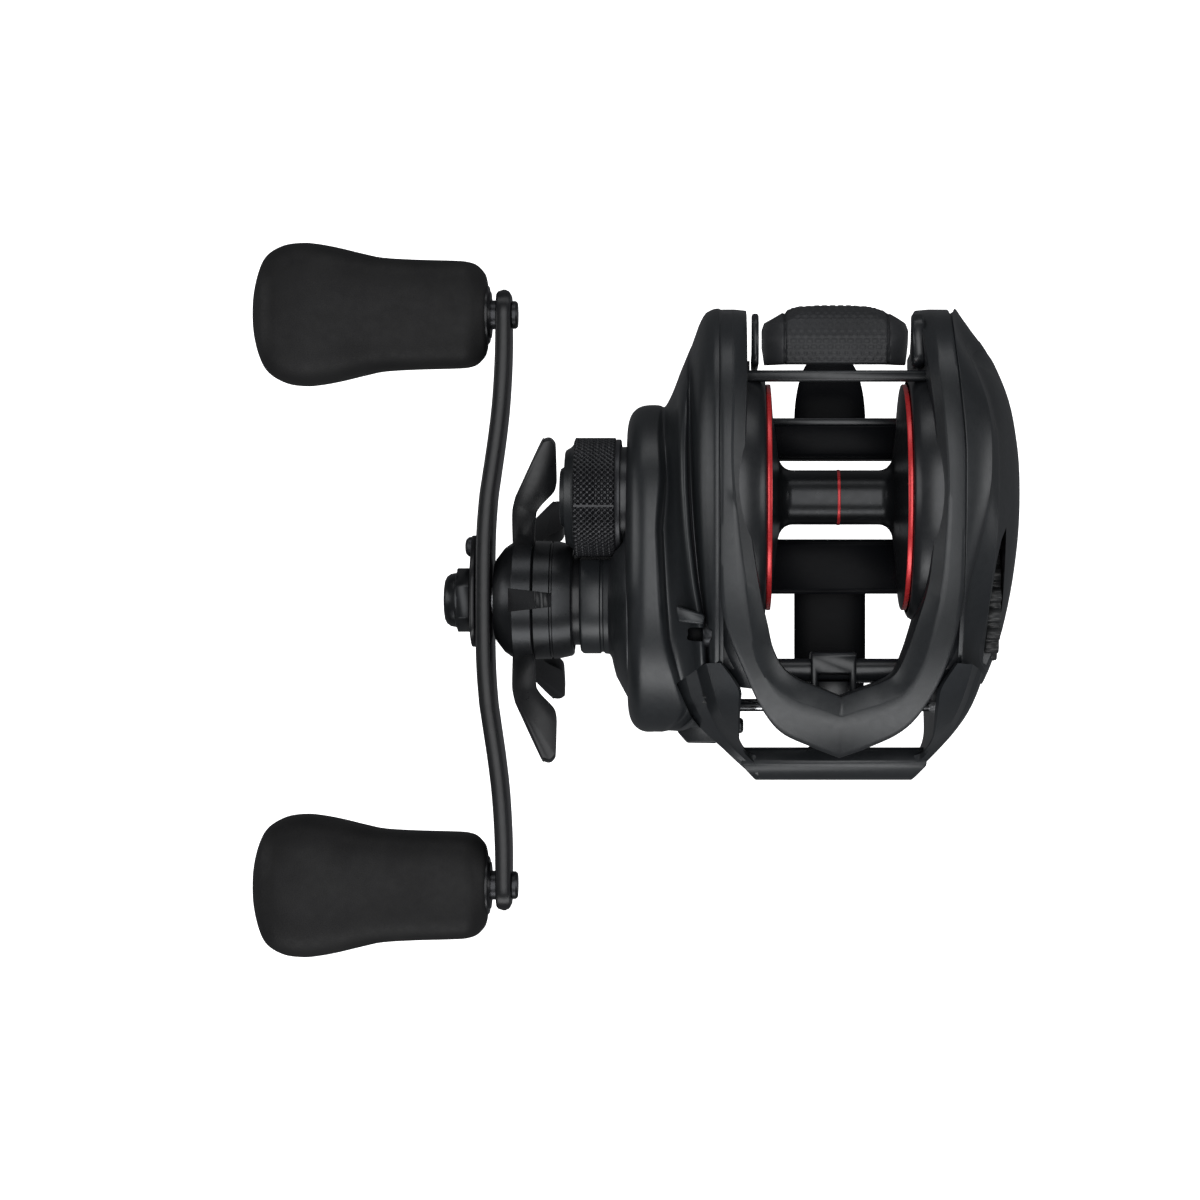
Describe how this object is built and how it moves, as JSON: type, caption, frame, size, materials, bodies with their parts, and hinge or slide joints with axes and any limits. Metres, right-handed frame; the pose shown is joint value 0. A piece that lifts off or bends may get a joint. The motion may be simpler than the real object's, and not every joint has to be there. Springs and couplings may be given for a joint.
{
  "type": "baitcasting reel",
  "caption": "Low-profile baitcasting fishing reel with a double crank handle, star drag, levelwind and magnetic brake dial.",
  "frame": {"origin": "Centre of the rod seat face on the underside of the reel foot, midway between the spool's two rims across the reel.", "axes": "+X from the handle side to the palm side, along every shaft. +Y from the line window at the front to the thumb bar at the back. +Z away from the rod."},
  "size_m": [0.1205, 0.1124, 0.0477],
  "materials": {
    "charcoal": "satin charcoal-black paint with a faint blue tint, fine",
    "arm_black": "glossier black anodised bar",
    "knob_black": "matte black with a fine moulded grain",
    "spool_black": "black anodised, satin",
    "rod_steel": "polished steel",
    "steel": "plain machined steel",
    "black_screw": "black oxide",
    "brass": "cut brass gear",
    "washer": "woven carbon friction washer",
    "black_plastic": "moulded black plastic",
    "foot_metal": "satin charcoal-black paint",
    "bearing": "ground bearing steel",
    "spring_steel": "drawn spring wire",
    "magnet": "plated magnet ring"
  },
  "bodies": {
    "root": {"frame": "charcoal", "top_cowl": "charcoal", "gear_cover": "charcoal", "reel_foot_front": "foot_metal", "reel_foot_rear": "foot_metal", "gear_plate": "steel", "foot_screw_front": "black_screw", "foot_screw_rear": "black_screw", "cover_screw_rear": "black_screw", "cover_screw_front": "black_screw", "yoke_post_upper": "steel", "yoke_post_lower": "steel", "yoke_spring_upper": "spring_steel", "yoke_spring_lower": "spring_steel", "shaft_bearing": "bearing", "roller_clutch": "bearing", "pinion_bearing": "bearing", "spool_bearing": "bearing", "levelwind_guard": "charcoal", "guide_rod": "rod_steel"},
    "crank": {"drive_shaft": "steel", "levelwind_drive_gear": "black_plastic", "drag_washer_inner": "washer", "drive_gear": "brass", "drag_washer_outer": "washer", "pressure_plate": "steel", "drag_spring_washer": "spring_steel", "roller_sleeve": "steel", "handle_arm": "arm_black", "nut_retainer": "arm_black", "handle_nut": "arm_black", "retainer_screw": "black_screw", "knob_spindle_front": "steel", "knob_spindle_rear": "steel"},
    "star": {"star_drag": "arm_black", "star_nut": "brass"},
    "knob_front": {"knob_front": "knob_black", "knob_bushing_front": "black_plastic"},
    "knob_rear": {"knob_rear": "knob_black", "knob_bushing_rear": "black_plastic"},
    "spool": {"spool": "spool_black", "spool_shaft": "steel", "spool_pin": "steel"},
    "yoke": {"yoke": "black_plastic"},
    "pinion": {"pinion": "brass"},
    "thumb_bar": {"thumb_bar": "charcoal", "clutch_cam": "black_plastic"},
    "worm": {"worm_shaft": "rod_steel", "worm_gear": "black_plastic"},
    "line_guide": {"line_guide": "charcoal", "pawl": "brass"},
    "tension_cap": {"tension_cap": "charcoal", "tension_shim": "brass"},
    "palm_cover": {"palm_cover": "charcoal", "brake_housing": "black_plastic", "palm_bearing": "bearing"},
    "brake_dial": {"brake_dial": "black_plastic"},
    "magnet_ring": {"magnet_ring": "magnet"}
  },
  "joints": [
    {"name": "crank_spin", "type": "hinge", "parent": "root", "child": "crank", "pos_m": [-0.0538, -0.009, 0.0175], "axis": [1, 0, 0], "continuous": true},
    {"name": "star_turn", "type": "hinge", "parent": "crank", "child": "star", "pos_m": [-0.0538, -0.009, 0.0175], "axis": [1, 0, 0], "range_deg": [-180, 180]},
    {"name": "knob_front_spin", "type": "hinge", "parent": "crank", "child": "knob_front", "pos_m": [-0.07, -0.054, 0.0175], "axis": [1, 0, 0], "continuous": true},
    {"name": "knob_rear_spin", "type": "hinge", "parent": "crank", "child": "knob_rear", "pos_m": [-0.07, 0.036, 0.0175], "axis": [1, 0, 0], "continuous": true},
    {"name": "spool_spin", "type": "hinge", "parent": "root", "child": "spool", "pos_m": [0, 0.007, 0.0225], "axis": [1, 0, 0], "continuous": true},
    {"name": "clutch_press", "type": "slide", "parent": "root", "child": "thumb_bar", "axis": [0, 0, -1], "range_m": [0, 0.0045]},
    {"name": "yoke_shift", "type": "slide", "parent": "root", "child": "yoke", "axis": [-1, 0, 0], "range_m": [0, 0.00125], "deforming": ["yoke_spring_upper", "yoke_spring_lower"]},
    {"name": "pinion_spin", "type": "hinge", "parent": "yoke", "child": "pinion", "pos_m": [-0.02, 0.007, 0.0225], "axis": [1, 0, 0], "continuous": true},
    {"name": "worm_spin", "type": "hinge", "parent": "root", "child": "worm", "pos_m": [0, -0.02, 0.02364], "axis": [1, 0, 0], "continuous": true},
    {"name": "line_guide_travel", "type": "slide", "parent": "root", "child": "line_guide", "axis": [1, 0, 0], "range_m": [-0.007, 0.0075]},
    {"name": "tension_cap_turn", "type": "hinge", "parent": "root", "child": "tension_cap", "pos_m": [-0.038, 0.007, 0.0225], "axis": [1, 0, 0], "range_deg": [-360, 360]},
    {"name": "palm_cover_off", "type": "slide", "parent": "root", "child": "palm_cover", "axis": [1, 0, 0], "range_m": [0, 0.03]},
    {"name": "brake_dial_turn", "type": "hinge", "parent": "palm_cover", "child": "brake_dial", "pos_m": [0.024, -0.0086, 0.0204], "axis": [1, 0, 0], "range_deg": [0, 270]},
    {"name": "magnet_turn", "type": "hinge", "parent": "palm_cover", "child": "magnet_ring", "pos_m": [0.0127, 0.007, 0.0225], "axis": [1, 0, 0], "range_deg": [-68, 0]}
  ],
  "couplings": [
    {"joint": "spool_spin", "follows": "crank_spin", "ratio": -6.3},
    {"joint": "pinion_spin", "follows": "crank_spin", "ratio": -6.3},
    {"joint": "worm_spin", "follows": "crank_spin", "ratio": -1.625},
    {"joint": "yoke_shift", "follows": "clutch_press", "ratio": 0.27778},
    {"joint": "magnet_turn", "follows": "brake_dial_turn", "ratio": -0.25}
  ]
}
